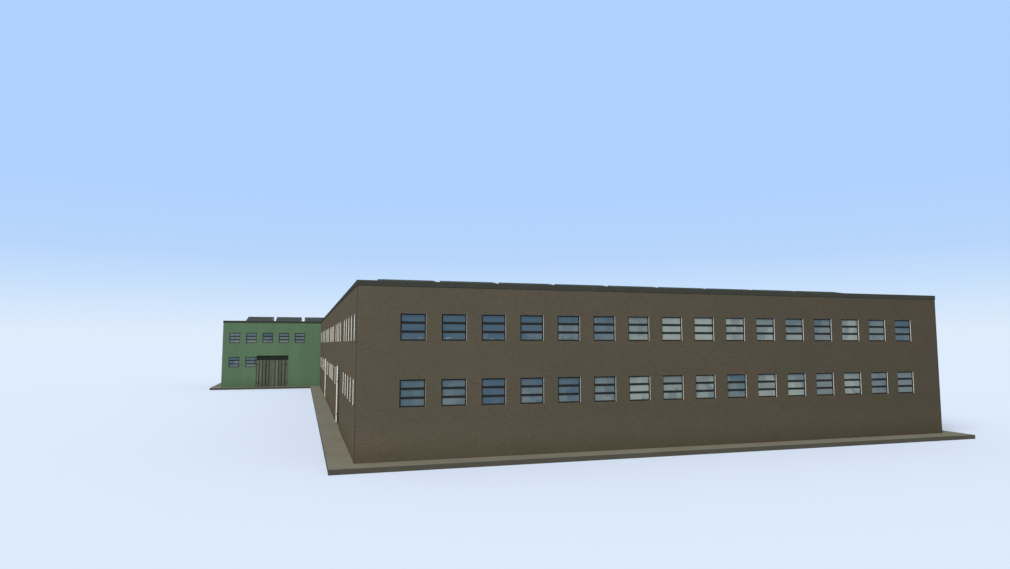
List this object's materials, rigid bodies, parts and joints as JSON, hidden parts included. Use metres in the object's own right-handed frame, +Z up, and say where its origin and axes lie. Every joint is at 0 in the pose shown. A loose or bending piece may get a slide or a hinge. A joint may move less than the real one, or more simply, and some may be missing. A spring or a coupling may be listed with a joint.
{
  "type": "factory building, 1:2 scale model",
  "caption": "Two-storey flat-roofed factory building with rows of windows, hinged yard gates, rooflights and a set-back green wing on a low plinth.",
  "frame": {"origin": "middle of the plinth's underside", "axes": "+X along the front to the right, +Y from the front to the back, +Z up"},
  "size_m": [26.45, 38.825, 5.014],
  "materials": {
    "brown_brick": "fine rough brown brickwork",
    "green_render": "matt green painted masonry",
    "coping": "dark grey-green painted coping",
    "plinth_concrete": "weathered grey-brown concrete",
    "concrete": "plain grey concrete",
    "window_glass": "blue-grey window glass in dark frames",
    "gate_boards": "grey-green painted upright boards",
    "gate_header": "dark grey painted panel",
    "ironwork": "black iron",
    "rooflight_metal": "dark grey-green painted sheet",
    "rooflight_glass": "dull grey-green glazing",
    "window_frame": "dark painted window frames",
    "reveal_lining": "cream plaster lining"
  },
  "bodies": {
    "building": {"plinth_main": "plinth_concrete", "plinth_rear": "plinth_concrete", "front_wall": "brown_brick", "front_windows": "window_glass", "left_wall_lower": "brown_brick", "left_wall_upper": "brown_brick", "left_windows": "window_glass", "right_wall": "brown_brick", "right_windows": "window_glass", "party_wall": "brown_brick", "main_upper_floor": "concrete", "main_roof": "concrete", "wing_front_lower": "green_render", "wing_front_upper": "green_render", "wing_front_windows": "window_glass", "wing_end_wall": "green_render", "wing_end_windows": "window_glass", "rear_wall": "green_render", "rear_windows": "window_glass", "rear_end_wall": "green_render", "rear_end_windows": "window_glass", "rear_upper_floor": "concrete", "rear_roof": "concrete", "front_coping": "coping", "left_coping": "coping", "right_coping": "coping", "party_coping": "coping", "wing_front_coping": "coping", "wing_end_coping": "coping", "rear_end_coping": "coping", "rear_coping": "coping", "main_rooflight_kerbs": "rooflight_metal", "main_rooflight_glass": "rooflight_glass", "rear_rooflight_kerbs": "rooflight_metal", "rear_rooflight_glass": "rooflight_glass", "gate_headers": "gate_header", "gate_hinge_pins": "ironwork"},
    "near_gate_right_leaf": {"near_gate_right_leaf": "gate_boards"},
    "near_gate_left_leaf": {"near_gate_left_leaf": "gate_boards"},
    "far_gate_right_leaf": {"far_gate_right_leaf": "gate_boards"},
    "far_gate_left_leaf": {"far_gate_left_leaf": "gate_boards"},
    "wing_gate_left_leaf": {"wing_gate_left_leaf": "gate_boards"},
    "wing_gate_right_leaf": {"wing_gate_right_leaf": "gate_boards"}
  },
  "joints": [
    {"name": "near_gate_right_leaf_hinge", "type": "hinge", "parent": "building", "child": "near_gate_right_leaf", "pos_m": [-6.217, -11.7595, 0.397], "axis": [0, 0, 1], "range_deg": [0, 100]},
    {"name": "near_gate_left_leaf_hinge", "type": "hinge", "parent": "building", "child": "near_gate_left_leaf", "pos_m": [-6.217, -9.7375, 0.397], "axis": [0, 0, -1], "range_deg": [0, 100]},
    {"name": "far_gate_right_leaf_hinge", "type": "hinge", "parent": "building", "child": "far_gate_right_leaf", "pos_m": [-6.217, 0.7585, 0.397], "axis": [0, 0, 1], "range_deg": [0, 100]},
    {"name": "far_gate_left_leaf_hinge", "type": "hinge", "parent": "building", "child": "far_gate_left_leaf", "pos_m": [-6.217, 2.7805, 0.397], "axis": [0, 0, -1], "range_deg": [0, 100]},
    {"name": "wing_gate_left_leaf_hinge", "type": "hinge", "parent": "building", "child": "wing_gate_left_leaf", "pos_m": [-10.421, 12.5405, 0.397], "axis": [0, 0, -1], "range_deg": [0, 100]},
    {"name": "wing_gate_right_leaf_hinge", "type": "hinge", "parent": "building", "child": "wing_gate_right_leaf", "pos_m": [-8.399, 12.5405, 0.397], "axis": [0, 0, 1], "range_deg": [0, 100]}
  ]
}
